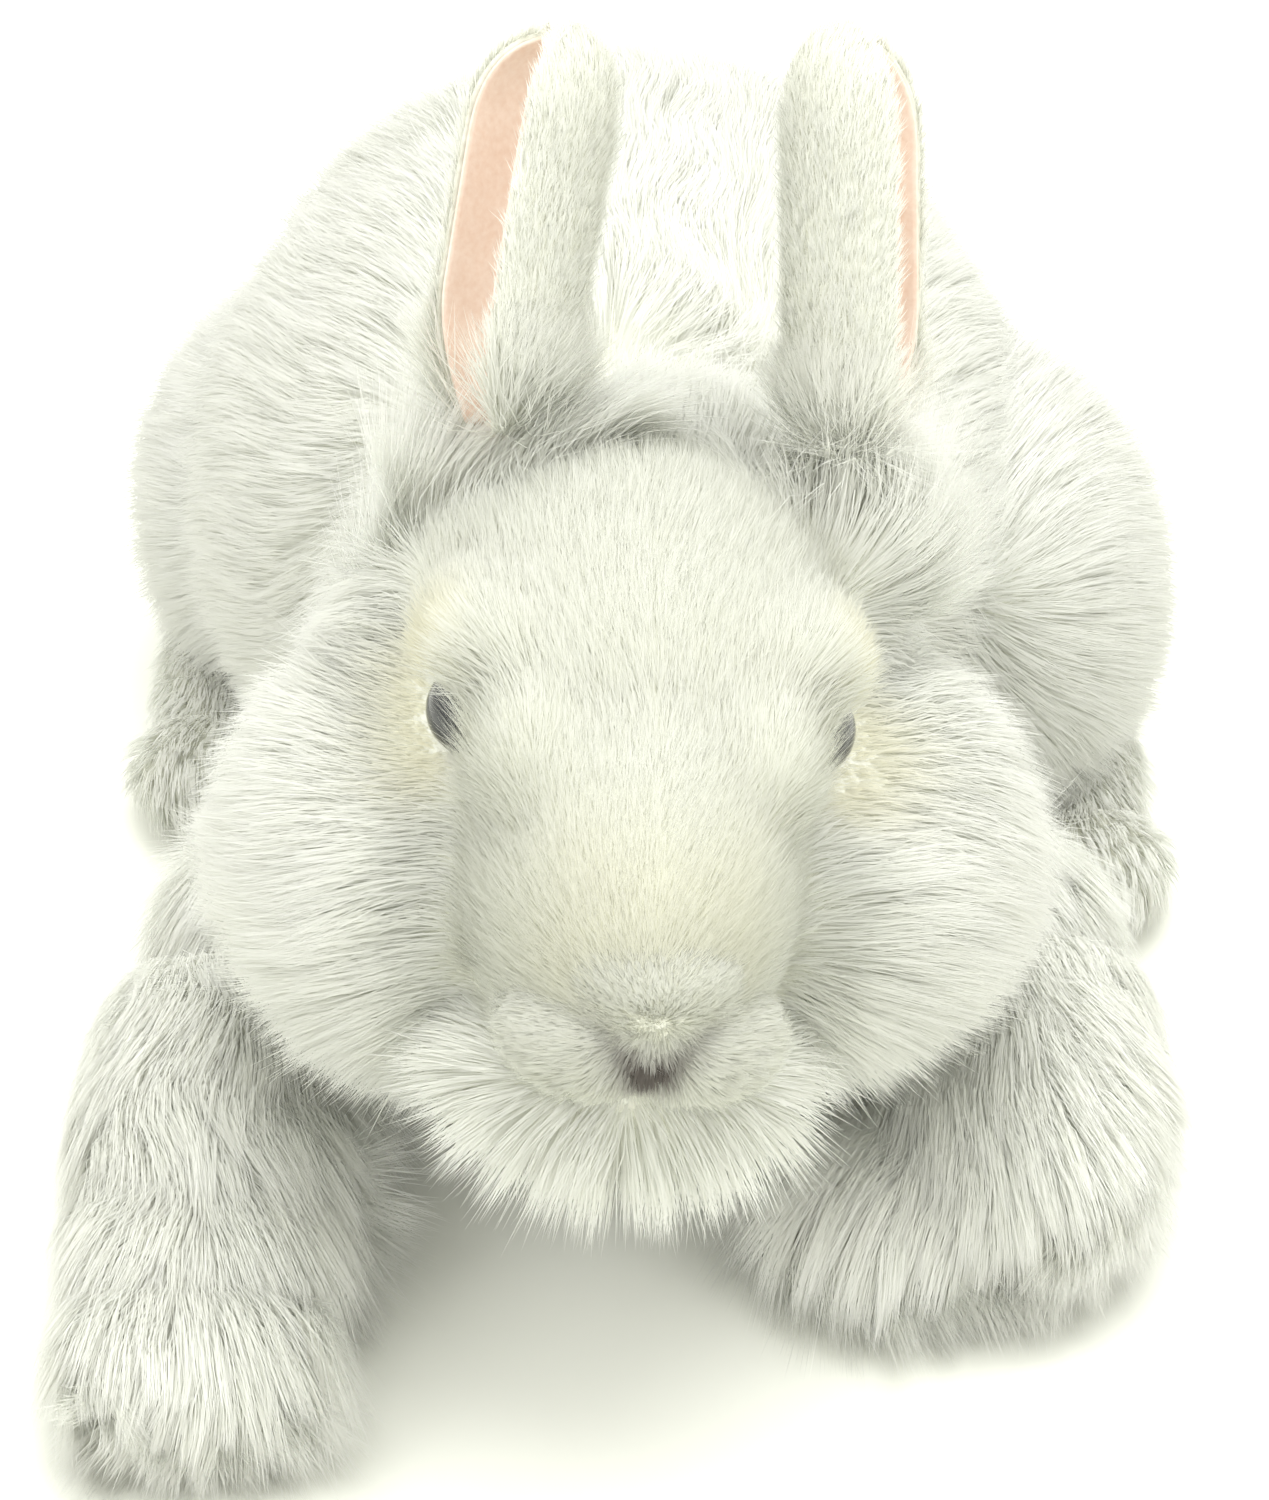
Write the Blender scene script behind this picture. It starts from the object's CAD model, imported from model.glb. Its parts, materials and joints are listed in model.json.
"""Plush rabbit lying on its belly: cloth, fur, eyes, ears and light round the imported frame."""

import json
import logging
import math
from dataclasses import dataclass, field
from enum import Enum
from typing import Callable

import bmesh
import bpy
import numpy as np
from mathutils import Matrix, Vector
from mathutils.kdtree import KDTree


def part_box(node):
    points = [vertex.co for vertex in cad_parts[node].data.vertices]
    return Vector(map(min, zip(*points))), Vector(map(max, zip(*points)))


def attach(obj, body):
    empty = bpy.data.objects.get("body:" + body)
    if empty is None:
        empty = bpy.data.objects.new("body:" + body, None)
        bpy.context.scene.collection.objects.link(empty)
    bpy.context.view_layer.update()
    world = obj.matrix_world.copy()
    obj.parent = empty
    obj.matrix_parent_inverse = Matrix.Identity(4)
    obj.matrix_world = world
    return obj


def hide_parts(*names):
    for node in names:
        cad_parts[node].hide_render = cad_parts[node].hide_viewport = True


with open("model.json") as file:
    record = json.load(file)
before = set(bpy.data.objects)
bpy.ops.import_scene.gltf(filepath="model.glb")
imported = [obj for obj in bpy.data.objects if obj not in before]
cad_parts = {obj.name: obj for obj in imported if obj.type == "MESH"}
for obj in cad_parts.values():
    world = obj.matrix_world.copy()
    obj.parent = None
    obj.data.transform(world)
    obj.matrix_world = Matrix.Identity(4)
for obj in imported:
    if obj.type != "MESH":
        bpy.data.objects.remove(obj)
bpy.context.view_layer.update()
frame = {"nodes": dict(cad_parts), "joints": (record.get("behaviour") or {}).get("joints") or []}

LOG = logging.getLogger("plush_rabbit")
MM = 0.001
BAKE_MAP = "OFBake"
NORMAL_LEAN = 0.25      # how far the strands' shading leans along them, away from the cloth's normal
FACING_SPREAD = 0.2     # how unevenly the strands' flat sides face outwards
ROOT_DEPTH = 0.3        # millimetres that the roots sit inside the cloth
WORLD = Matrix.Identity(4)      # the place of pieces that are built in the row frame itself
Array = np.ndarray


class Side(Enum):
    """Side of the toy, as the viewer sees it from the front, with the sign of its X."""

    LEFT = -1
    RIGHT = 1

    @property
    def word(self) -> str:
        """The side's word in node and body names."""
        return self.name.lower()


# ---------------------------------------------------------------- small helpers


def joint_point(name: str) -> Vector:
    """Pivot of a joint of the frame, in millimetres.

    Args:
        name: The joint's name.

    Returns:
        The joint's place at rest.
    """
    joint = next(entry for entry in frame["joints"] if entry["name"] == name)
    return Vector(joint["pos_m"]) / MM


def linear_colour(code: str) -> tuple[float, float, float, float]:
    """Linear colour of an sRGB hex code.

    Args:
        code: Six hex digits.

    Returns:
        Red, green, blue and alpha for a shader socket.
    """
    channels = [int(code[i : i + 2], 16) / 255 for i in (0, 2, 4)]
    linear = [c / 12.92 if c <= 0.04045 else ((c + 0.055) / 1.055) ** 2.4 for c in channels]
    return (linear[0], linear[1], linear[2], 1.0)


def vector_row(*parts: float) -> Array:
    """One vector as an array with a single row."""
    return np.array([parts])


def stored(items: bpy.types.bpy_prop_collection, key: str, kind: type = np.float32) -> Array:
    """Three values stored on each of a mesh's items, one item a row."""
    values = np.zeros(len(items) * 3, kind)
    items.foreach_get(key, values)
    return values.reshape(-1, 3)


def unit(rows: Array) -> Array:
    """Rows scaled to length one."""
    return rows / np.maximum(np.linalg.norm(rows, axis=-1, keepdims=True), 1e-9)


def ramp(value: Array, low: float, high: float) -> Array:
    """Smooth step from 0 at low to 1 at high; high may be the lower of the two."""
    t = np.clip((value - low) / (high - low), 0.0, 1.0)
    return t * t * (3 - 2 * t)


def to_local(points: Array, place: Matrix) -> Array:
    """Points of the row frame in the frame of a place, all in millimetres."""
    inverse = np.array(place.inverted())
    return points @ inverse[:3, :3].T + inverse[:3, 3]


def turned(directions: Array, place: Matrix) -> Array:
    """Directions given in the frame of a place, turned to the row frame."""
    return directions @ np.array(place)[:3, :3].T


def waves(points: Array, pitch: float, seed: int) -> Array:
    """Smooth pseudo-random vector field, from a few crossing sine waves.

    Args:
        points: Places in millimetres, one a row.
        pitch: Rough distance between swirls in millimetres.
        seed: Seed of the waves' directions and phases.

    Returns:
        One vector a row, each part roughly from -1 to 1.
    """
    draw = np.random.default_rng(seed)
    total = np.zeros_like(points)
    for _ in range(6):
        direction = unit(draw.normal(size=(3,)))
        length = pitch * draw.uniform(0.7, 1.6)
        phase = draw.uniform(0, 2 * math.pi, 3)
        along = points @ direction * (2 * math.pi / length)
        total += np.sin(along[:, None] + phase) * draw.normal(size=3)
    return total / 2.4


# ---------------------------------------------------------------- finishes


def add_node(tree: bpy.types.NodeTree, kind: str, links: dict | None = None, **settings) -> bpy.types.Node:
    """Adds a shader node with its settings and links.

    Args:
        tree: The material's node tree.
        kind: The node's type name.
        links: Input name or number to the output socket that feeds it.
        **settings: Node properties, or input names with spaces as underscores, to their values.

    Returns:
        The new node.
    """
    node = tree.nodes.new(kind)
    for key, value in settings.items():
        socket = key.replace("_", " ")
        if socket in node.inputs and not hasattr(node, key):
            node.inputs[socket].default_value = value
        else:
            setattr(node, key, value)
    for key, output in (links or {}).items():
        tree.links.new(output, node.inputs[key])
    return node


def set_inputs(node: bpy.types.Node, values: dict[str | int, object]) -> None:
    """Gives a node's inputs their values."""
    for key, value in values.items():
        node.inputs[key].default_value = value


def grain(tree: bpy.types.NodeTree, pitch_mm: float, detail: float = 2.0) -> bpy.types.Node:
    """Noise in the piece's own space, with a pitch in millimetres."""
    place = add_node(tree, "ShaderNodeTexCoord")
    links = {"Vector": place.outputs["Object"]}
    return add_node(tree, "ShaderNodeTexNoise", links, Scale=1 / (pitch_mm * MM), Detail=detail)


def set_ramp(node: bpy.types.Node, stops: list[tuple[float, str]]) -> None:
    """Gives a colour ramp node its stops, as places and hex codes."""
    ramp_colours = node.color_ramp
    while len(ramp_colours.elements) < len(stops):
        ramp_colours.elements.new(0.5)
    for element, (place, code) in zip(ramp_colours.elements, stops):
        element.position = place
        element.color = linear_colour(code)


def new_material(name: str) -> tuple[bpy.types.Material, bpy.types.NodeTree, bpy.types.Node, bpy.types.Node]:
    """A material with its tree, its Principled shader and its output node."""
    material = bpy.data.materials.new(name)
    material.use_nodes = True
    tree = material.node_tree
    return material, tree, tree.nodes["Principled BSDF"], tree.nodes["Material Output"]


@dataclass(frozen=True)
class FurFinish:
    """Acrylic pile, spun white and heat-set: matt fibres that glow where light passes through them."""

    name: str
    root: str = "EFF0E8"
    middle: str = "F4F5EF"
    tip: str = "FAFAF8"
    shade: str = "EBEBE2"
    shade_amount: float = 0.3
    glow: float = 0.55
    sheen: float = 0.2

    def build(self) -> bpy.types.Material:
        """The pile's material: root to tip gradient, and a slight change from lock to lock."""
        material, tree, shader, output = new_material(self.name)
        along = add_node(tree, "ShaderNodeAttribute", attribute_name="along")
        lock = add_node(tree, "ShaderNodeAttribute", attribute_name="lock")
        stain = add_node(tree, "ShaderNodeAttribute", attribute_name="stain")
        gradient = add_node(tree, "ShaderNodeValToRGB", {"Fac": along.outputs["Fac"]})
        set_ramp(gradient, [(0.0, self.root), (0.45, self.middle), (1.0, self.tip)])
        amount = add_node(tree, "ShaderNodeMath", {0: lock.outputs["Fac"]}, operation="MULTIPLY")
        set_inputs(amount, {1: self.shade_amount})
        toned = add_node(
            tree,
            "ShaderNodeMixRGB",
            {"Fac": amount.outputs[0], "Color1": gradient.outputs["Color"]},
            Color2=linear_colour(self.shade),
        )
        # the stain attribute carries airbrushed dye: grey-brown on the nose, cream round the eyes
        dyed = add_node(tree, "ShaderNodeMixRGB", {"Fac": stain.outputs["Fac"], "Color1": toned.outputs[0]})
        dye = add_node(tree, "ShaderNodeAttribute", attribute_name="dye")
        tree.links.new(dye.outputs["Color"], dyed.inputs["Color2"])
        tree.links.new(dyed.outputs[0], shader.inputs["Base Color"])
        pile_look = {"Roughness": 0.62, "Specular IOR Level": 0.3, "Sheen Roughness": 0.4}
        set_inputs(shader, pile_look | {"Sheen Weight": self.sheen})
        through = add_node(tree, "ShaderNodeBsdfTranslucent", {"Color": dyed.outputs[0]})
        mixed = add_node(tree, "ShaderNodeMixShader", {1: shader.outputs[0], 2: through.outputs[0]})
        set_inputs(mixed, {0: self.glow})
        tree.links.new(mixed.outputs[0], output.inputs["Surface"])
        return material


@dataclass(frozen=True)
class KnitFinish:
    """Knitted backing cloth of a pile fabric: fine loops, 1.2 mm apart, under the fur."""

    name: str
    light: str = "E2E3D8"
    dark: str = "CFCFC1"
    loop_mm: float = 1.2

    def build(self) -> bpy.types.Material:
        """The knit's material, with its loops as colour and bump."""
        material, tree, shader, _ = new_material(self.name)
        place = add_node(tree, "ShaderNodeTexCoord")
        links = {"Vector": place.outputs["Object"]}
        loops = add_node(tree, "ShaderNodeTexVoronoi", links, Scale=1 / (self.loop_mm * MM))
        gradient = add_node(tree, "ShaderNodeValToRGB", {"Fac": loops.outputs["Distance"]})
        set_ramp(gradient, [(0.1, self.light), (0.8, self.dark)])
        bump = add_node(tree, "ShaderNodeBump", {"Height": loops.outputs["Distance"]}, Strength=0.4)
        set_inputs(bump, {"Distance": 0.2 * MM})
        tree.links.new(gradient.outputs["Color"], shader.inputs["Base Color"])
        tree.links.new(bump.outputs["Normal"], shader.inputs["Normal"])
        set_inputs(shader, {"Roughness": 0.9, "Sheen Weight": 0.3})
        return material


@dataclass(frozen=True)
class VelourFinish:
    """Peach-pink polyester velour: a close nap that pales where it is brushed, on a fine knit."""

    name: str
    light: str = "ECDDD0"
    dark: str = "E2CCBB"
    nap_mm: float = 0.9
    patch_mm: float = 9.0

    def build(self) -> bpy.types.Material:
        """The velour's material: brushed patches, nap grain and a soft sheen."""
        material, tree, shader, _ = new_material(self.name)
        patches = grain(tree, self.patch_mm, 3.0)
        nap = grain(tree, self.nap_mm, 4.0)
        both = {0: patches.outputs["Fac"], 1: nap.outputs["Fac"]}
        blend = add_node(tree, "ShaderNodeMath", both, operation="ADD")
        half = add_node(tree, "ShaderNodeMath", {0: blend.outputs[0]}, operation="MULTIPLY")
        set_inputs(half, {1: 0.5})
        gradient = add_node(tree, "ShaderNodeValToRGB", {"Fac": half.outputs[0]})
        set_ramp(gradient, [(0.35, self.dark), (0.62, self.light)])
        bump = add_node(tree, "ShaderNodeBump", {"Height": nap.outputs["Fac"]}, Strength=0.35)
        set_inputs(bump, {"Distance": 0.15 * MM})
        tree.links.new(gradient.outputs["Color"], shader.inputs["Base Color"])
        tree.links.new(bump.outputs["Normal"], shader.inputs["Normal"])
        set_inputs(shader, {"Roughness": 0.85, "Sheen Weight": 0.5, "Sheen Roughness": 0.35})
        return material


@dataclass(frozen=True)
class MouldedFinish:
    """Injection-moulded plastic: glossy and nearly black on the eyes, matt and milky on the washers."""

    name: str
    light: str
    dark: str
    roughness: float
    coat: float
    mottle_mm: float = 3.0

    def build(self) -> bpy.types.Material:
        """The plastic's material, with a faint depth of colour and fine handling marks."""
        material, tree, shader, _ = new_material(self.name)
        mottle = grain(tree, self.mottle_mm)
        gradient = add_node(tree, "ShaderNodeValToRGB", {"Fac": mottle.outputs["Fac"]})
        set_ramp(gradient, [(0.3, self.dark), (0.75, self.light)])
        marks = grain(tree, self.mottle_mm / 4)
        spread = add_node(tree, "ShaderNodeMapRange", {"Value": marks.outputs["Fac"]})
        set_inputs(spread, {"To Min": self.roughness, "To Max": self.roughness * 1.6})
        tree.links.new(gradient.outputs["Color"], shader.inputs["Base Color"])
        tree.links.new(spread.outputs["Result"], shader.inputs["Roughness"])
        set_inputs(shader, {"IOR": 1.5, "Coat Weight": self.coat, "Coat Roughness": 0.03})
        return material


@dataclass(frozen=True)
class FillingFinish:
    """Polyester fibre filling: white, matt and woolly."""

    name: str
    light: str = "F4F4F0"
    dark: str = "DDDDD6"
    tuft_mm: float = 5.0

    def build(self) -> bpy.types.Material:
        """The filling's material."""
        material, tree, shader, _ = new_material(self.name)
        tufts = grain(tree, self.tuft_mm, 6.0)
        gradient = add_node(tree, "ShaderNodeValToRGB", {"Fac": tufts.outputs["Fac"]})
        set_ramp(gradient, [(0.3, self.dark), (0.7, self.light)])
        tree.links.new(gradient.outputs["Color"], shader.inputs["Base Color"])
        set_inputs(shader, {"Roughness": 0.95})
        return material


# ---------------------------------------------------------------- meshes


@dataclass(frozen=True)
class Blob:
    """One ellipsoid of a stuffed shape, in millimetres, in the frame of its piece."""

    centre: tuple[float, float, float]
    half: tuple[float, float, float]
    tilt: tuple[float, float, float] = (0.0, 0.0, 0.0)

    def matrix(self) -> Matrix:
        """Matrix that takes a unit sphere to the blob."""
        turn = Matrix.Identity(4)
        for angle, axis in zip(self.tilt, "XYZ"):
            turn = Matrix.Rotation(math.radians(angle), 4, axis) @ turn
        return Matrix.Translation(self.centre) @ turn @ Matrix.Diagonal((*self.half, 1.0))


def applied(piece: bpy.types.Object) -> bpy.types.Object:
    """The piece with its modifiers applied to its mesh."""
    bpy.context.view_layer.update()
    shown = piece.evaluated_get(bpy.context.evaluated_depsgraph_get())
    mesh = bpy.data.meshes.new_from_object(shown)
    piece.modifiers.clear()
    piece.data = mesh
    return piece


def new_piece(name: str, mesh: bpy.types.Mesh) -> bpy.types.Object:
    """A piece of the scene that holds a mesh."""
    mesh.name = name
    piece = bpy.data.objects.new(name, mesh)
    bpy.context.scene.collection.objects.link(piece)
    return piece


def piece_from(shape: bmesh.types.BMesh, name: str, place: Matrix = WORLD) -> bpy.types.Object:
    """A piece in metres from a shape in millimetres in the frame of a place; uses the shape up."""
    bmesh.ops.transform(shape, matrix=Matrix.Diagonal((MM, MM, MM, 1.0)) @ place, verts=shape.verts)
    mesh = bpy.data.meshes.new(name)
    shape.to_mesh(mesh)
    shape.free()
    return new_piece(name, mesh)


def smooth_shaded(piece: bpy.types.Object, finish: bpy.types.Material) -> bpy.types.Object:
    """The piece with smooth faces and one material."""
    for polygon in piece.data.polygons:
        polygon.use_smooth = True
    piece.data.materials.clear()
    piece.data.materials.append(finish)
    return piece


@dataclass
class StuffedShape:
    """Stuffed cloth form: blobs melted into one skin and smoothed, as cloth pulled tight by its filling."""

    name: str
    blobs: list[Blob]
    place: Matrix
    voxel: float = 2.0
    rounds: int = 12
    floor: float | None = None

    def build(self, finish: bpy.types.Material) -> bpy.types.Object:
        """The skin's piece, in metres in the row frame.

        Args:
            finish: The cloth's material.

        Returns:
            The piece, with its modifiers applied.
        """
        shape = bmesh.new()
        for blob in self.blobs:
            bmesh.ops.create_icosphere(shape, subdivisions=4, radius=1.0, matrix=self.place @ blob.matrix())
        piece = piece_from(shape, self.name)
        melt = piece.modifiers.new("melt", "REMESH")
        melt.mode = "VOXEL"
        melt.voxel_size = self.voxel * MM
        soften = piece.modifiers.new("soften", "SMOOTH")
        soften.factor = 0.5
        soften.iterations = self.rounds
        applied(piece)
        if self.floor is not None:
            self._rest_on_floor(piece)
        return smooth_shaded(piece, finish)

    def _rest_on_floor(self, piece: bpy.types.Object) -> None:
        """Presses the underside flat where the piece rests on its floor height."""
        places = stored(piece.data.vertices, "co")
        places[:, 2] = np.maximum(places[:, 2], self.floor * MM)
        piece.data.vertices.foreach_set("co", places.ravel())
        piece.data.update()


@dataclass(frozen=True)
class Pile:
    """How a pile grows: lengths in millimetres, angles in degrees from the cloth."""

    length: float
    count: int
    width: float = 0.30
    rows: int = 2
    lift_root: float = 55.0
    lift_tip: float = 12.0
    droop: float = 0.15
    jitter: float = 0.11
    clump: float = 0.55
    clump_share: float = 0.045
    swirl: float = 0.25
    swirl_pitch: float = 26.0
    length_spread: float = 0.13
    seed: int = 1


Comb = Callable[[Array, Array], Array]
Field = Callable[[Array], Array]


def strand_template(rows: int) -> tuple[Array, list[list[int]]]:
    """One tapered strand on a flat strip, from a grid whose far end is drawn to a point.

    Args:
        rows: Lengthwise divisions of the strip.

    Returns:
        Across (-1 to 1) and along (0 to 1) of each corner, and the faces' corners.
    """
    strip = bmesh.new()
    bmesh.ops.create_grid(strip, x_segments=1, y_segments=rows, size=1.0)
    strip.verts.ensure_lookup_table()
    end = [corner for corner in strip.verts if corner.co.y > 0.999]
    bmesh.ops.pointmerge(strip, verts=end, merge_co=Vector((0.0, 1.0, 0.0)))
    strip.verts.ensure_lookup_table()
    strip.verts.index_update()
    corners = np.array([(corner.co.x, (corner.co.y + 1) / 2) for corner in strip.verts])
    faces = [[corner.index for corner in face.verts] for face in strip.faces]
    strip.free()
    return corners, faces


@dataclass
class FurCoat:
    """Pile grown on a skin, as thousands of tapered strands that lie the way they are combed.

    Fields:
        skin: The cloth that it grows on.
        pile: How it grows.
        comb: Direction that the pile lies in, from places and normals.
        length_at: Share of the pile's length, from places.
        keep: Share of strands that grow, from places.
        dye_at: Optional amount and colour of dye, from places.
        floor: Least height of the strands, in millimetres.
    """

    name: str
    skin: bpy.types.Object
    pile: Pile
    comb: Comb
    length_at: Field
    keep: Field
    dye_at: Callable[[Array], tuple[Array, Array]] | None = None
    floor: float = 0.3

    def build(self, finish: bpy.types.Material) -> bpy.types.Object:
        """The coat's piece.

        Args:
            finish: The pile's material.

        Returns:
            The fur as one mesh.
        """
        draw = np.random.default_rng(self.pile.seed)
        roots, normals = self._sample(draw)
        spines, tone = self._grow(roots, normals, draw)
        piece = self._mesh(roots, normals, spines, tone, draw)
        piece.data.materials.append(finish)
        return piece

    def _sample(self, draw: np.random.Generator) -> tuple[Array, Array]:
        """Roots spread evenly over the skin where the coat is kept, and the skin's normals there."""
        mesh = self.skin.data
        mesh.calc_loop_triangles()
        corners = stored(mesh.vertices, "co").astype(float) / MM
        smooth = stored(mesh.vertex_normals, "vector").astype(float)
        triangles = stored(mesh.loop_triangles, "vertices", np.int32)
        a, b, c = (corners[triangles[:, i]] for i in range(3))
        weight = np.linalg.norm(np.cross(b - a, c - a), axis=1)
        weight = weight * self.keep((a + b + c) / 3)
        chosen = draw.choice(len(triangles), size=self.pile.count, p=weight / weight.sum())
        u, v = draw.random(self.pile.count), draw.random(self.pile.count)
        flip = u + v > 1
        u[flip], v[flip] = 1 - u[flip], 1 - v[flip]
        shares = np.stack([1 - u - v, u, v], 1)[:, :, None]
        roots = (corners[triangles[chosen]] * shares).sum(1)
        normals = unit((smooth[triangles[chosen]] * shares).sum(1))
        return roots, normals

    def _grow(self, roots: Array, normals: Array, draw: np.random.Generator) -> tuple[Array, Array]:
        """Spine of each strand, row by row, and each strand's own random tone."""
        pile = self.pile
        count = len(roots)
        combed = self.comb(roots, normals)
        combed = combed + waves(roots, pile.swirl_pitch, pile.seed + 50) * pile.swirl
        combed = combed - normals * (combed * normals).sum(1, keepdims=True)
        combed = unit(combed + draw.normal(size=(count, 3)) * pile.jitter * 0.5)
        lengths = pile.length * self.length_at(roots) * (1 + draw.normal(size=count) * pile.length_spread)
        lengths = np.clip(lengths, 0.6, None)
        steps = pile.rows
        spines = np.zeros((count, steps + 1, 3))
        spines[:, 0] = roots - normals * ROOT_DEPTH
        wobble = draw.normal(size=(count, 3)) * pile.jitter
        for row in range(steps):
            share = (row + 0.5) / steps
            lift = math.radians(pile.lift_root + (pile.lift_tip - pile.lift_root) * share)
            heading = combed * math.cos(lift) + normals * math.sin(lift) + wobble * (0.4 + share)
            heading[:, 2] -= pile.droop * share * 2
            spines[:, row + 1] = spines[:, row] + unit(heading) * (lengths / steps)[:, None]
        tone = self._clump(spines, draw)
        spines[:, :, 2] = np.maximum(spines[:, :, 2], self.floor + 0.25 * draw.random((count, 1)))
        return spines, tone

    def _clump(self, spines: Array, draw: np.random.Generator) -> Array:
        """Draws the strands together into locks, and returns each lock's tone."""
        count = len(spines)
        locks = max(8, int(count * self.pile.clump_share))
        leaders = draw.choice(count, size=locks, replace=False)
        tree = KDTree(locks)
        for index, leader in enumerate(leaders):
            tree.insert(spines[leader, 0], index)
        tree.balance()
        nearest = np.array([tree.find(root)[1] for root in spines[:, 0]])
        pull_of_lock = self.pile.clump * draw.uniform(0.55, 1.3, locks)
        pull = np.clip(pull_of_lock[nearest], 0, 0.95)
        guides = spines[leaders[nearest]].copy()
        for row in range(1, spines.shape[1]):
            share = (row / (spines.shape[1] - 1)) ** 1.2
            amount = (pull * share)[:, None]
            spines[:, row] = spines[:, row] * (1 - amount) + guides[:, row] * amount
        tone = draw.random(locks)[nearest] * 0.6 + draw.random(count) * 0.4
        return tone

    def _mesh(
        self, roots: Array, normals: Array, spines: Array, tone: Array, draw: np.random.Generator
    ) -> bpy.types.Object:
        """Lays the strand template along each spine."""
        pile = self.pile
        corners, faces = strand_template(pile.rows)
        count, per = len(roots), len(corners)
        rows = np.rint(corners[:, 1] * pile.rows).astype(int)
        centres = spines[:, rows]
        before = spines[:, np.maximum(rows - 1, 0)]
        after = spines[:, np.minimum(rows + 1, pile.rows)]
        heading = unit(after - before)
        facing = unit(normals + draw.normal(size=normals.shape) * FACING_SPREAD)[:, None, :]
        across = unit(np.cross(heading, facing))
        taper = (1.0 - 0.55 * corners[:, 1]) * (corners[:, 1] < 0.999)
        widths = pile.width / 2 * (0.75 + 0.5 * draw.random(count))
        shift = across * (corners[:, 0] * taper)[None, :, None] * widths[:, None, None]
        places = centres + shift
        places[:, :, 2] = np.maximum(places[:, :, 2], self.floor * 0.8)
        mesh = bpy.data.meshes.new(self.name)
        sizes = np.array([len(face) for face in faces])
        loops = np.concatenate([np.array(face) for face in faces])
        mesh.vertices.add(count * per)
        mesh.vertices.foreach_set("co", (places * MM).astype(np.float32).ravel())
        all_loops = (loops[None, :] + (np.arange(count) * per)[:, None]).ravel()
        all_sizes = np.tile(sizes, count)
        mesh.loops.add(len(all_loops))
        mesh.loops.foreach_set("vertex_index", all_loops.astype(np.int32))
        mesh.polygons.add(len(all_sizes))
        starts = np.concatenate([[0], np.cumsum(all_sizes)[:-1]])
        mesh.polygons.foreach_set("loop_start", starts.astype(np.int32))
        mesh.update(calc_edges=True)
        self._maps(mesh, corners, loops, count)
        self._tones(mesh, roots, corners, tone)
        outward = unit(normals[:, None, :] + heading * NORMAL_LEAN)
        outward = np.broadcast_to(outward, places.shape).reshape(-1, 3)
        mesh.normals_split_custom_set_from_vertices(outward.astype(np.float32).tolist())
        return new_piece(self.name, mesh)

    def _maps(self, mesh: bpy.types.Mesh, corners: Array, loops: Array, count: int) -> None:
        """Gives each strand its own cell of the bake map."""
        side = math.ceil(math.sqrt(count))
        cell = np.stack([np.arange(count) % side, np.arange(count) // side], 1)
        inside = np.stack([0.5 + 0.34 * corners[:, 0], 0.12 + 0.76 * corners[:, 1]], 1)
        spread = (cell[:, None, :] + inside[loops][None, :, :]) / side
        layer = mesh.uv_layers.new(name=BAKE_MAP)
        layer.uv.foreach_set("vector", spread.astype(np.float32).ravel())

    def _tones(self, mesh: bpy.types.Mesh, roots: Array, corners: Array, tone: Array) -> None:
        """Stores how far along, which lock's tone and which dye each corner has."""
        count, per = len(roots), len(corners)
        no_dye = (np.zeros(count), np.zeros((count, 3)))
        amount, colour = self.dye_at(roots) if self.dye_at else no_dye
        rgba = np.concatenate([colour, np.ones((count, 1))], 1)
        for name, kind, key, values in (
            ("along", "FLOAT", "value", np.tile(corners[:, 1], count)),
            ("lock", "FLOAT", "value", np.repeat(tone, per)),
            ("stain", "FLOAT", "value", np.repeat(amount, per)),
            ("dye", "FLOAT_COLOR", "color", np.repeat(rgba, per, axis=0)),
        ):
            layer = mesh.attributes.new(name, kind, "POINT")
            layer.data.foreach_set(key, values.astype(np.float32).ravel())


def everywhere(points: Array) -> Array:
    """The same share at every place."""
    return np.ones(len(points))


def outside_blobs(points: Array, blobs: list[Blob], place: Matrix, margin: float = 1.0) -> Array:
    """1 where a point lies outside every blob shrunk by a margin, else 0."""
    local = to_local(points, place)
    kept = np.ones(len(points))
    for blob in blobs:
        offset = to_local(local, Matrix.Translation(blob.centre)) / (np.array(blob.half) - margin)
        kept[(offset**2).sum(1) < 1] = 0
    return kept


# ---------------------------------------------------------------- finishes of this toy

LONG_FUR = FurFinish("acrylic_long_pile").build()
FACE_FUR = FurFinish(
    "acrylic_short_pile", root="E3E4D9", middle="EBECE3", tip="F1F2EC", shade="E3E3D6", shade_amount=0.4
).build()
EAR_FUR = FurFinish(
    "acrylic_ear_pile", root="EDEEE5", middle="F5F6F0", tip="FAFAF6", shade="E9E9DE", shade_amount=0.4
).build()
KNIT = KnitFinish("knitted_backing_cloth").build()
VELOUR = VelourFinish("polyester_velour").build()
EYE_PLASTIC = MouldedFinish("polished_eye_plastic", "1E2126", "0B0C0F", 0.06, 0.6).build()
WASHER_PLASTIC = MouldedFinish("natural_washer_plastic", "DEDCD2", "CBC8BC", 0.45, 0.0).build()
FILLING = FillingFinish("polyester_fibre_filling").build()


# ---------------------------------------------------------------- torso, haunches, feet and tail


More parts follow.
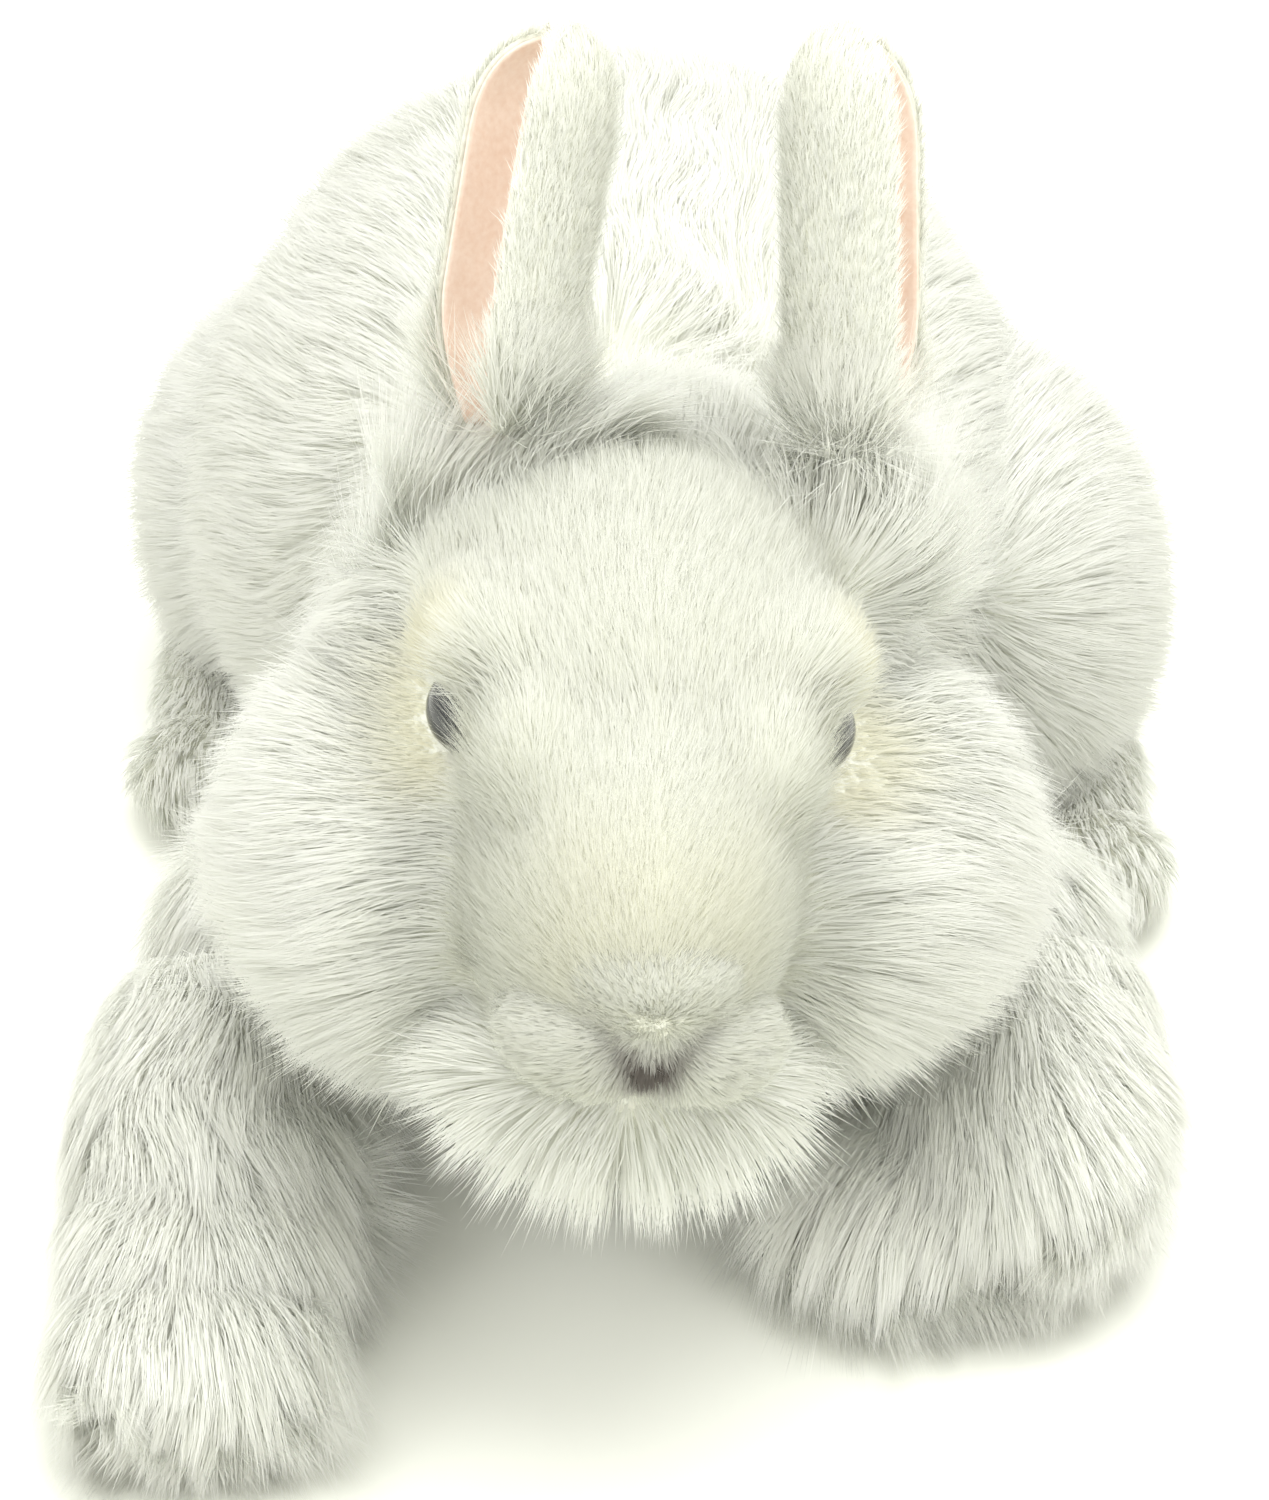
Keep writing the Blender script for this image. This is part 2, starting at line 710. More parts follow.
@dataclass
class Torso:
    """The lying body: stuffed torso and chest, two haunches, two hind feet and the belly panel."""

    neck: Vector
    tail: Vector
    skin_depth: float = 5.0
    length: float = 168.0
    width: float = 142.0
    height: float = 108.0
    sink: float = 9.0
    fur: float = 14.0

    def blobs(self) -> list[Blob]:
        """Torso and chest under the fur."""
        middle = (self.tail.x, self.neck.y + 4.0 + self.length / 2, (self.height - self.sink) / 2)
        half = tuple(
            size / 2 - self.skin_depth for size in (self.width, self.length, self.height + self.sink)
        )
        chest = (self.neck.x + 2.0, self.neck.y + 24.0, 32.0)
        return [
            Blob(middle, half),
            Blob(chest, (45.0, 36.0, 33.0)),
            Blob(
                (middle[0], middle[1] + 30.0, middle[2] + 2.0),
                (half[0] * 0.9, half[1] * 0.72, half[2] * 0.93),
            ),
        ]

    def build(self) -> None:
        """Builds the torso's cloth and fur."""
        skin = StuffedShape("body_cloth", self.blobs(), WORLD, voxel=3.0, rounds=10, floor=4.2).build(KNIT)
        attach(skin, "torso")
        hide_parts("body_cover")
        head_ball = Blob(tuple(self.neck), (38.0, 38.0, 38.0))

        def comb(points: Array, normals: Array) -> Array:
            """Back towards the tail, and a little down on the sides."""
            lie = np.zeros_like(points)
            lie[:, 1] = 1.0
            lie[:, 0] = np.sign(points[:, 0] - self.tail.x) * ramp(np.abs(points[:, 0]), 5, 60) * 0.5
            lie[:, 2] = -0.35
            toward = np.array(self.neck) - points
            near = 1 - ramp(np.linalg.norm(toward, axis=1), 42.0, 56.0)[:, None]
            return lie * (1 - near) + unit(toward) * near

        for side in Side:

            def keep(points: Array, side: Side = side) -> Array:
                """One half of the torso, outside the head and above the belly."""
                half = (points[:, 0] - self.tail.x) * side.value > 0
                return half * outside_blobs(points, [head_ball], WORLD) * (points[:, 2] > 4.5)

            pile = Pile(self.fur, 56000, width=0.22, clump=0.34, clump_share=0.03, seed=11 + side.value)
            coat = FurCoat(f"body_fur_{side.word}", skin, pile, comb, everywhere, keep)
            piece = coat.build(LONG_FUR)
            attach(piece, "torso")
        LOG.info("torso: cloth and fur")


@dataclass
class Haunch:
    """Thigh pad of one side with the hind foot under it."""

    side: Side

    def build(self) -> None:
        """Builds the pad's cloth and fur and the foot's cloth and short fur."""
        word = self.side.word
        low, high = (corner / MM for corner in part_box(f"haunch_{word}_cover"))
        middle = (low + high) / 2
        centre = (middle.x - self.side.value * 8.0, middle.y, middle.z)
        half = ((high.x - low.x) / 2 + 4.0, (high.y - low.y) / 2 - 4.0, (high.z - low.z) / 2 - 2.0)
        blobs = [Blob(centre, half)]
        skin = StuffedShape(f"haunch_{word}_cloth", blobs, WORLD, voxel=2.5, rounds=6, floor=2.0).build(KNIT)
        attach(skin, "torso")
        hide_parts(f"haunch_{word}_cover")

        def comb(points: Array, normals: Array) -> Array:
            """Back and outwards, then down at the rear."""
            return np.zeros_like(points) + vector_row(self.side.value * 0.35, 0.8, -0.45)

        def keep(points: Array) -> Array:
            """The outer part of the pad."""
            return ((points[:, 0] - centre[0]) * self.side.value > -6.0) * (points[:, 2] > 2.5)

        pile = Pile(14.0, 30000, width=0.22, clump=0.34, clump_share=0.03, seed=21 + self.side.value)
        coat = FurCoat(f"haunch_{word}_fur", skin, pile, comb, everywhere, keep)
        piece = coat.build(LONG_FUR)
        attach(piece, "torso")
        self._foot(word)
        LOG.info("haunch %s: pad, fur and hind foot", word)

    def _foot(self, word: str) -> None:
        """Hind foot: a long low pad with a short pile."""
        low, high = (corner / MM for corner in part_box(f"hind_foot_{word}_cover"))
        middle = (low + high) / 2
        half = (high - low) / 2 - Vector((2.2, 2.2, 2.0))
        blobs = [
            Blob((middle.x, middle.y + 4.0, middle.z), (half.x * 0.86, half.y * 0.94, half.z)),
            Blob((middle.x, low.y + half.x + 2.0, middle.z - 0.3), (half.x, half.x * 1.15, half.z)),
        ]
        shape = StuffedShape(f"hind_foot_{word}_cloth", blobs, WORLD, voxel=1.5, rounds=6, floor=0.9)
        skin = shape.build(KNIT)
        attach(skin, "torso")
        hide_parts(f"hind_foot_{word}_cover")

        def comb(points: Array, normals: Array) -> Array:
            """Forward along the foot and down over its sides."""
            return np.zeros_like(points) + vector_row(0.0, -1.0, -0.25)

        pile = Pile(8.0, 11000, width=0.30, clump=0.4, lift_root=45, seed=31 + self.side.value)
        coat = FurCoat(f"hind_foot_{word}_fur", skin, pile, comb, everywhere, everywhere)
        piece = coat.build(LONG_FUR)
        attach(piece, "torso")


@dataclass
class BellyPanel:
    """Flat short-pile panel under the body, the face that the toy lies on."""

    def build(self) -> None:
        """Builds the panel as a flat pad with a rounded rim, and its short nap."""
        low, high = (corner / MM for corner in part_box("belly_panel"))
        middle = (low + high) / 2
        half = (high - low) / 2
        shape = bmesh.new()
        rim = bmesh.ops.create_circle(shape, cap_ends=True, segments=72, radius=1.0)["verts"]
        for corner in rim:
            narrow = 1.0 - 0.22 * float(ramp(np.array([-corner.co.y]), 0.1, 0.9)[0])
            corner.co.x *= narrow
        bmesh.ops.transform(shape, matrix=Matrix.Diagonal((half.x - 1.0, half.y - 1.0, 1.0, 1.0)), verts=rim)
        top = bmesh.ops.extrude_face_region(shape, geom=list(shape.faces))["geom"]
        lifted = [item for item in top if isinstance(item, bmesh.types.BMVert)]
        bmesh.ops.translate(shape, verts=lifted, vec=(0, 0, 3.6))
        bmesh.ops.translate(shape, verts=shape.verts, vec=(middle.x, middle.y, 0.2))
        edges = [edge for edge in shape.edges if abs(edge.verts[0].co.z - edge.verts[1].co.z) < 0.01]
        bmesh.ops.bevel(
            shape, geom=edges, offset=1.2, segments=3, profile=0.5, affect="EDGES", material=-1
        )
        bmesh.ops.recalc_face_normals(shape, faces=shape.faces)
        piece = piece_from(shape, "belly_cloth")
        piece.data.materials.append(KNIT)
        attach(piece, "torso")
        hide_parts("belly_panel")
        LOG.info("belly panel")


@dataclass
class Tail:
    """Round puff at the rear."""

    root: Vector

    def build(self) -> None:
        """Builds the puff's cloth and its fur, which stands out all round."""
        blobs = [
            Blob(tuple(self.root), (12.0, 12.0, 12.0)),
            Blob((self.root.x, self.root.y + 8.0, self.root.z + 5.0), (9.5, 9.0, 9.5)),
        ]
        skin = StuffedShape("tail_cloth", blobs, WORLD, voxel=1.5, rounds=6).build(KNIT)
        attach(skin, "tail")
        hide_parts("tail_cover")

        def comb(points: Array, normals: Array) -> Array:
            """Out and up, away from the root."""
            return normals + np.array([0.0, 0.6, 0.5])

        def keep(points: Array) -> Array:
            """Behind the torso."""
            return points[:, 1] > self.root.y - 5.0

        pile = Pile(14.0, 18000, width=0.27, lift_root=70, lift_tip=35, clump=0.6, seed=41)
        piece = FurCoat("tail_fur", skin, pile, comb, everywhere, keep).build(LONG_FUR)
        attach(piece, "tail")
        LOG.info("tail: cloth and fur")


# ---------------------------------------------------------------- head


@dataclass
class Head:
    """The head: short-piled face, long-piled cheeks, the separately sewn muzzle, and the eyes."""

    neck: Vector
    offset: tuple[float, float, float] = (-1.6, -34.0, 7.0)
    turn: float = 5.0
    tilt: float = 8.0
    skull: Blob = Blob((0, 5, 4), (35.5, 40, 36))
    bridge: Blob = Blob((0, -21, 3), (21.5, 34.5, 26))
    cheek_half: tuple[float, float, float] = (29.0, 29.0, 26.0)
    cheeks: dict[Side, tuple[float, float, float]] = field(
        default_factory=lambda: {Side.LEFT: (-21.0, -4.0, -11.0), Side.RIGHT: (25.0, -4.0, -7.0)}
    )
    eye_centre: tuple[float, float, float] = (23.0, -18.5, 22.0)
    eye_outward: tuple[float, float, float] = (0.93, -0.28, 0.22)
    long_pile: float = 16.0

    def place(self) -> Matrix:
        """The head's frame: +Y to its back, +Z to its crown."""
        return (
            Matrix.Translation(self.neck + Vector(self.offset))
            @ Matrix.Rotation(math.radians(self.tilt), 4, "Y")
            @ Matrix.Rotation(math.radians(self.turn), 4, "Z")
        )

    def skin_blobs(self) -> list[Blob]:
        """The head's stuffed form under its pile."""
        ball = to_local(np.array([self.neck]), self.place())[0]
        brows = [Blob((side.value * 20.0, -11.0, 27.0), (9.0, 12.0, 7.0)) for side in Side]
        wide, deep, high = self.cheek_half
        cheeks = [
            Blob(self.cheeks[Side.LEFT], (wide - 3.5, deep, high)),
            Blob(self.cheeks[Side.RIGHT], (wide, deep, high)),
            Blob((1.0, -38.5, -16.5), (21.0, 15.0, 8.8)),
        ]
        ridges = [Blob((side.value * 15.5, -23.0, 19.5), (6.8, 12.0, 10.0)) for side in Side]
        mounds = [Blob((-18.0, 20.0, 24.0), (11.0, 13.0, 7.5)), Blob((27.0, 19.0, 23.5), (12.0, 14.0, 12.0))]
        nape = Blob(tuple(ball), (36.0, 36.0, 36.0))
        return [self.skull, self.bridge, nape] + brows + cheeks + ridges + mounds

    def muzzle_blobs(self) -> list[Blob]:
        """Nose pad, two lips and the lower lip."""
        return [
            Blob((1.0, -49.6, 6.0), (10.5, 7.2, 7.0)),
            Blob((-5.5, -47.8, -4.0), (10.5, 9.0, 7.5)),
            Blob((7.5, -47.8, -4.0), (10.5, 9.0, 7.5)),
            Blob((1.0, -48.5, -1.0), (8.0, 8.0, 6.0)),
            Blob((1.0, -43.0, -9.0), (11.0, 8.5, 7.0)),
        ]

    def build(self) -> None:
        """Builds the skins, the pile of each region and the eyes."""
        place = self.place()
        skin = StuffedShape("head_cloth", self.skin_blobs(), place, voxel=1.8, rounds=10).build(KNIT)
        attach(skin, "head")
        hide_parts("head_cover")
        muzzle = StuffedShape("muzzle_cloth", self.muzzle_blobs(), place, voxel=1.0, rounds=9).build(KNIT)
        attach(muzzle, "head")
        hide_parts("muzzle_cover")
        self._coats(skin, muzzle, place)
        for side in Side:
            self._eye(side, place)
        LOG.info("head: cloth, pile and eyes")

    # ---- regions, in the head's own frame

    def face_share(self, local: Array) -> Array:
        """1 on the short-piled forehead and nose bridge, 0 on the long-piled rest."""
        across = np.abs(local[:, 0])
        edge = 20.0 + 9.0 * ramp(local[:, 2], 14.0, 34.0)
        front = 1 - ramp(local[:, 1], 14.0, 28.0)
        low = ramp(local[:, 2], -16.0, -6.0)
        return (1 - ramp(across - edge, -2.0, 4.0)) * front * low * (1 - self.ear_root_share(local))

    def eye_distance(self, local: Array) -> Array:
        """Distance to the nearer eye's middle."""
        centre = np.array(self.eye_centre)
        mirrored = np.abs(local[:, 0])
        return np.linalg.norm(np.stack([mirrored, local[:, 1], local[:, 2]], 1) - centre, axis=1)

    def lash_share(self, local: Array) -> Array:
        """1 on the inner side of the eyes, whose hairs cross the dome's edge."""
        inner = ramp(24.0 - np.abs(local[:, 0]), 0.5, 3.0)
        return (1 - ramp(self.eye_distance(local), 7.0, 13.0)) * inner

    def ear_root_share(self, local: Array) -> Array:
        """1 round the roots of the ears, 0 elsewhere."""
        share = np.zeros(len(local))
        for x in (-18.0, 30.0):
            away = np.hypot(local[:, 0] - x, local[:, 1] - 22.0)
            share = np.maximum(share, (1 - ramp(away, 10.0, 21.0)) * ramp(local[:, 2], 4.0, 16.0))
        return share

    def comb(self, points: Array, normals: Array) -> Array:
        """Face pile runs up and back; cheek pile runs out, back and down; the chin hangs."""
        place = self.place()
        local = to_local(points, place)
        side = np.sign(local[:, 0])[:, None]
        face = self.face_share(local)[:, None]
        low = ramp(local[:, 2], -8.0, -28.0)
        chin = ramp(local[:, 2], -5.0, -11.0) * (1 - ramp(np.abs(local[:, 0]), 12.0, 26.0))
        low = np.maximum(low, chin)[:, None]
        middle = (1 - ramp(np.abs(local[:, 0]), 6.0, 26.0))[:, None]
        up_back = vector_row(0.0, 0.8, 0.55) + side * vector_row(0.12, 0.0, 0.0)
        outward = side * vector_row(1.0, 0.0, 0.0) + vector_row(0.0, 0.35, -0.22)
        hanging = side * (1 - middle) * vector_row(0.5, 0.0, 0.0) + vector_row(0.0, 0.45, -1.0)
        rest = outward * (1 - low) + hanging * low
        crown = ramp(local[:, 2], 18.0, 32.0)[:, None] * ramp(local[:, 1], 0.0, 20.0)[:, None]
        rest = rest * (1 - crown) + vector_row(0.0, 1.0, 0.4) * crown
        lie = up_back * face + rest * (1 - face)
        lash = self.lash_share(local)[:, None]
        over_eye = side * vector_row(1.0, 0.0, 0.0) + vector_row(0.0, 0.15, 0.55)
        lie = lie * (1 - lash) + over_eye * lash
        roots = self.ear_root_share(local)[:, None]
        lie = lie * (1 - roots) + vector_row(0.0, 0.25, 1.0) * roots
        return turned(lie, place)

    def _coats(self, skin: bpy.types.Object, muzzle: bpy.types.Object, place: Matrix) -> None:
        """Grows the face, cheek, crown and muzzle piles."""
        muzzle_blobs = self.muzzle_blobs()

        def clear(points: Array) -> Array:
            """Outside the muzzle, the eyes and the neck's pocket."""
            local = to_local(points, place)
            kept = outside_blobs(points, muzzle_blobs, place, 3.2)
            kept = kept * (self.eye_distance(local) > 5.7)
            return kept * (points[:, 1] < self.neck.y + 18.0)

        def face_keep(points: Array) -> Array:
            """The short-piled face."""
            return clear(points) * (self.face_share(to_local(points, place)) > 0.5)

        def face_length(points: Array) -> Array:
            """Shorter towards the nose, longer up the forehead."""
            local = to_local(points, place)
            return 0.75 + 0.45 * ramp(local[:, 1], -50.0, 15.0) + 0.95 * self.lash_share(local)

        face_pile = Pile(
            6.0, 95000, width=0.20, rows=1, lift_root=24, droop=0.0, jitter=0.2, clump=0.2,
            clump_share=0.1, swirl=0.12, swirl_pitch=40.0, seed=51,
        )
        piece = FurCoat("face_fur", skin, face_pile, self.comb, face_length, face_keep, self._eye_dye).build(
            FACE_FUR
        )
        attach(piece, "head")

        def long_length(points: Array) -> Array:
            """Short round the eye and in the socket, full on the cheeks, long again at the chin."""
            local = to_local(points, place)
            near_eye = ramp(self.eye_distance(local), 7.0, 20.0)
            edge = ramp(1 - self.face_share(local), 0.35, 1.0)
            roots = self.ear_root_share(local)
            rear = ramp(local[:, 1], 16.0, 34.0)
            crown = ramp(local[:, 2], 16.0, 28.0) * ramp(local[:, 1], 10.0, 24.0)
            share = 0.16 + 0.84 * near_eye * edge + 0.15 * roots + 0.3 * rear + 0.12 * crown
            return np.clip(share, 0.15, 1.35)

        for side in Side:

            def cheek_keep(points: Array, side: Side = side) -> Array:
                """The long-piled rest of the head, one side of it."""
                local = to_local(points, place)
                own = local[:, 0] * side.value > 0
                return clear(points) * own * (self.face_share(local) <= 0.5)

            pile = Pile(
                self.long_pile, 55000, width=0.20, lift_root=44, lift_tip=4, clump=0.28, clump_share=0.03,
                seed=61 + side.value,
            )
            coat = FurCoat(
                f"cheek_fur_{side.word}", skin, pile, self.comb, long_length, cheek_keep, self._eye_dye
            )
            piece = coat.build(LONG_FUR)
            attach(piece, "head")
        self._muzzle_coat(muzzle, place)

    def _eye_dye(self, points: Array) -> tuple[Array, Array]:
        """Faint cream tone in the eye sockets and on the bridge."""
        local = to_local(points, self.place())
        near = 1 - ramp(self.eye_distance(local), 7.0, 17.0)
        outside = ramp(np.abs(local[:, 0]), 20.0, 26.0)
        bridge = 1 - ramp(np.abs(local[:, 2] - 12.0), 4.0, 16.0)
        bridge = bridge * (1 - ramp(np.abs(local[:, 0]), 8.0, 20.0))
        amount = near * outside * 0.45 + bridge * ramp(-local[:, 1], 30.0, 50.0) * 0.15
        cream = np.array(linear_colour("EAE5C6")[:3])
        return amount, np.broadcast_to(cream, (len(points), 3))

    def _muzzle_coat(self, muzzle: bpy.types.Object, place: Matrix) -> None:
        """Short pile on nose and lips, with the airbrushed nose, and the hanging chin fringe."""
        nose_tip = np.array([1.0, -58.0, 0.0])

        def comb(points: Array, normals: Array) -> Array:
            """Away from the nose's base: up over the nose, out along the lips, down the chin."""
            local = to_local(points, place)
            away = local - nose_tip
            up = ramp(local[:, 2], 1.0, 6.0)[:, None]
            chin = ramp(local[:, 2], -9.0, -15.0)[:, None]
            outward = np.clip(away[:, 0] / 7.0, -1, 1)
            falling = -0.9 * (1 - np.abs(outward)) - 0.12
            lie = np.stack([outward, np.full(len(away), 0.3), falling], 1)
            over = np.stack([away[:, 0] * 0.16, np.full(len(away), 0.15), np.full(len(away), 1.0)], 1)
            lie = lie * (1 - up) + over * up
            lie = lie * (1 - chin) + vector_row(0.0, -0.1, -1.0) * chin
            return turned(lie, place)

        def length(points: Array) -> Array:
            """Close on the nose, longer on the lips, long at the chin."""
            local = to_local(points, place)
            lips = ramp(local[:, 2], 4.0, -4.0)
            chin = ramp(local[:, 2], -8.0, -14.0)
            return 0.45 + 0.35 * lips + 1.2 * chin

        def dye(points: Array) -> tuple[Array, Array]:
            """Grey-brown airbrushing in the V between the nose pad and the lips."""
            local = to_local(points, place)
            x = local[:, 0] - 1.0
            line = -2.6 + np.abs(x) * 0.75
            band = np.exp(-(((local[:, 2] - line) / 1.7) ** 2)) * np.exp(-((x / 5.0) ** 2))
            core = np.exp(-(((local[:, 2] + 2.8) / 2.6) ** 2)) * np.exp(-((x / 2.6) ** 2))
            amount = np.clip(band * 0.6 + core * 0.85, 0, 0.9)
            return amount, np.broadcast_to(np.array(linear_colour("6A605A")[:3]), (len(points), 3))

        pile = Pile(
            5.0, 40000, width=0.26, rows=2, lift_root=30, lift_tip=8, droop=0.05, jitter=0.2, clump=0.45,
            clump_share=0.05, swirl=0.1, seed=71,
        )
        outside = [self.skull, self.bridge]

        def keep(points: Array) -> Array:
            """What shows in front of the head."""
            return outside_blobs(points, outside, place, 0.5)

        piece = FurCoat("muzzle_fur", muzzle, pile, comb, length, keep, dye).build(FACE_FUR)
        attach(piece, "head")

    def _eye(self, side: Side, place: Matrix) -> None:
        """Domed safety eye with its shank, turned on a lathe profile."""
        radius, rise, rim = 6.0, 4.5, 0.5
        dome_r = (radius**2 + rise**2) / (2 * rise)
        shape = bmesh.new()
        profile = [shape.verts.new((0.0, 0.0, rise))]
        steps = 14
        widest = math.asin(radius / dome_r)
        for step in range(1, steps + 1):
            angle = widest * step / steps
            profile.append(
                shape.verts.new((dome_r * math.sin(angle), 0.0, rise - dome_r * (1 - math.cos(angle))))
            )
        shank_r, shank_end = 1.6, -13.0
        rim_edge = [(radius - rim * 0.1, -rim * 0.7), (radius - rim, -rim)]
        shank = [(shank_r, -rim), (shank_r, shank_end), (0.0, shank_end)]
        for across, up in rim_edge + shank:
            profile.append(shape.verts.new((across, 0.0, up)))
        edges = [shape.edges.new(pair) for pair in zip(profile, profile[1:])]
        bmesh.ops.spin(
            shape, geom=profile + edges, axis=(0, 0, 1), cent=(0, 0, 0), angle=2 * math.pi, steps=48,
            use_merge=True,
        )
        bmesh.ops.remove_doubles(shape, verts=shape.verts, dist=0.01)
        bmesh.ops.recalc_face_normals(shape, faces=shape.faces)
        centre = Vector((side.value * self.eye_centre[0], *self.eye_centre[1:]))
        outward = Vector((side.value * self.eye_outward[0], *self.eye_outward[1:]))
        aim = Matrix.Translation(centre) @ outward.to_track_quat("Z", "Y").to_matrix().to_4x4()
        piece = smooth_shaded(piece_from(shape, f"eye_{side.word}_dome", place @ aim), EYE_PLASTIC)
        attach(piece, "head")
        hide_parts(f"eye_{side.word}")


# ---------------------------------------------------------------- ears


@dataclass
class Ear:
    """Folded ear: a cupped fur back and its velour lining, open to the side."""

    side: Side
    head: Matrix
    root: Vector
    length: float = 50.0
    start: float = -4.0
    half_width: float = 8.5
    depth: float = 11.6
    lean_back: float = 27.0
    lean_in: float = 5.0
    open_out: float = 65.0
    lining_inset: float = 1.2
    lining_margin: float = 0.4

    def place(self) -> Matrix:
        """The ear's frame: +Z to its tip, -Y out of its opening."""
        tilt = (
            Matrix.Rotation(math.radians(-self.lean_back), 4, "X")
            @ Matrix.Rotation(math.radians(-self.side.value * self.lean_in), 4, "Y")
            @ Matrix.Rotation(math.radians(self.side.value * self.open_out), 4, "Z")
        )
        turn = self.head.to_3x3().to_4x4()
        return Matrix.Translation(self.root) @ turn @ tilt

    def outline(self, along: float) -> float:
        """Width of the ear as a share of its widest, from its root (0) to its tip (1)."""
        tip = math.sqrt(max(0.02, 1 - max(0.0, (along - 0.70) / 0.30) ** 2.6))
        root = 0.5 + 0.5 * math.sin(math.pi / 2 * min(1.0, along / 0.35))
        return tip * root

    def point(self, across: float, along: float, inset: float, margin: float) -> Vector:
        """Point of the ear's cup.

        Args:
            across: From one rim (-1) to the other (1).
            along: From the root (0) to the tip (1).
            inset: How far inside the outer face it lies, in millimetres.
            margin: How far the ends stay inside the outer ends, in millimetres.

        Returns:
            The point in the ear's frame, in millimetres.
        """
        bend = across * math.radians(114 + 3 * inset)
        size = self.outline(along)
        x = (self.half_width - inset) * size * math.sin(bend)
        y = (self.depth - inset * 0.5) * size * (math.cos(bend) - 0.31) + (1 - size) * 1.5
        y -= inset * 0.5 * math.cos(bend)
        return Vector((x, y, self.start + margin + (self.length - self.start - 2 * margin) * along))

    def leaf(self, inset: float, margin: float) -> bmesh.types.BMesh:
        """The cup as an open sheet, in the ear's frame, in millimetres."""
        sheet = bmesh.new()
        bmesh.ops.create_grid(sheet, x_segments=24, y_segments=36, size=1.0)
        for corner in sheet.verts:
            corner.co = self.point(corner.co.x, (corner.co.y + 1) / 2, inset, margin)
        return sheet

    def cut(self, inset: float, margin: float) -> tuple[float, float, float]:
        """Width, length and area of the cup unrolled flat, in metres and square metres."""
        steps = [step / 48 for step in range(49)]

        def run(points: list[Vector]) -> float:
            """Length of a line through points."""
            return sum((b - a).length for a, b in zip(points, points[1:]))

        width = max(run([self.point(2 * u - 1, v, inset, margin) for u in steps]) for v in steps)
        length = max(run([self.point(2 * u - 1, v, inset, margin) for v in steps]) for u in steps)
        sheet = self.leaf(inset, margin)
        area = sum(face.calc_area() for face in sheet.faces)
        sheet.free()
        return width * MM, length * MM, area * MM * MM

    def build(self) -> None:
        """Builds the back with its short pile, the lining and the tuft at the root."""
        word, place = self.side.word, self.place()
        back = self._sheet(f"ear_{word}_cloth", 0.0, 0.0, 1.1, KNIT, place)
        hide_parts(f"ear_{word}_back")
        inset, margin = self.lining_inset, self.lining_margin
        lining = self._sheet(f"ear_{word}_velour", inset, margin, 0.7, VELOUR, place)
        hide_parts(f"ear_{word}_lining")
        width, length, area = self.cut(inset, margin)
        LOG.info("ear %s lining: %.1f x %.1f mm flat, %.0f mm2", word, width / MM, length / MM, area * 1e6)
        self._coat(back, place, word)
        LOG.info("ear %s: back, lining and pile", word)

    def _sheet(
        self, name: str, inset: float, margin: float, thick: float, finish: bpy.types.Material, place: Matrix
    ) -> bpy.types.Object:
        """One layer of the ear as a thin closed sheet."""
        sheet = self.leaf(inset, margin)
        bmesh.ops.recalc_face_normals(sheet, faces=sheet.faces)
        piece = piece_from(sheet, name, place)
        wall = piece.modifiers.new("wall", "SOLIDIFY")
        wall.thickness = thick * MM
        wall.offset = 0.0
        round_off = piece.modifiers.new("round", "SUBSURF")
        round_off.levels = round_off.render_levels = 1
        smooth_shaded(applied(piece), finish)
        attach(piece, f"ear_{self.side.word}")
        return piece

    def _coat(self, back: bpy.types.Object, place: Matrix, word: str) -> None:
        """Short pile on the outer face, and long hairs at the root and along the rim."""

        def comb(points: Array, normals: Array) -> Array:
            """Up the ear and towards its rim."""
            return turned(np.broadcast_to(np.array([0.0, -0.25, 1.0]), points.shape), place)

        def keep(points: Array) -> Array:
            """The outer face and the rim only."""
            return self._outer(to_local(points, place))

        def length(points: Array) -> Array:
            """Longer at the root."""
            local = to_local(points, place)
            return 0.8 + 2.2 * ramp(local[:, 2], 16.0, 0.0)

        pile = Pile(
            4.6, 24000, width=0.20, rows=2, lift_root=30, lift_tip=10, droop=0.0, jitter=0.22, clump=0.3,
            clump_share=0.08, swirl=0.1, seed=81 + self.side.value,
        )
        piece = FurCoat(f"ear_{word}_fur", back, pile, comb, length, keep).build(EAR_FUR)
        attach(piece, f"ear_{word}")

    def _outer(self, local: Array) -> Array:
        """1 on the outside of the cup, 0 inside it."""
        share = np.clip((local[:, 2] - self.start) / (self.length - self.start), 0, 1)
        size = np.array([self.outline(value) for value in share])
        x = local[:, 0] / (self.half_width * size)
        y = (local[:, 1] - (1 - size) * 1.5) / (self.depth * size) + 0.31
        return np.where(x**2 + y**2 > 0.95, 1.0, 0.0)


# ---------------------------------------------------------------- forelegs


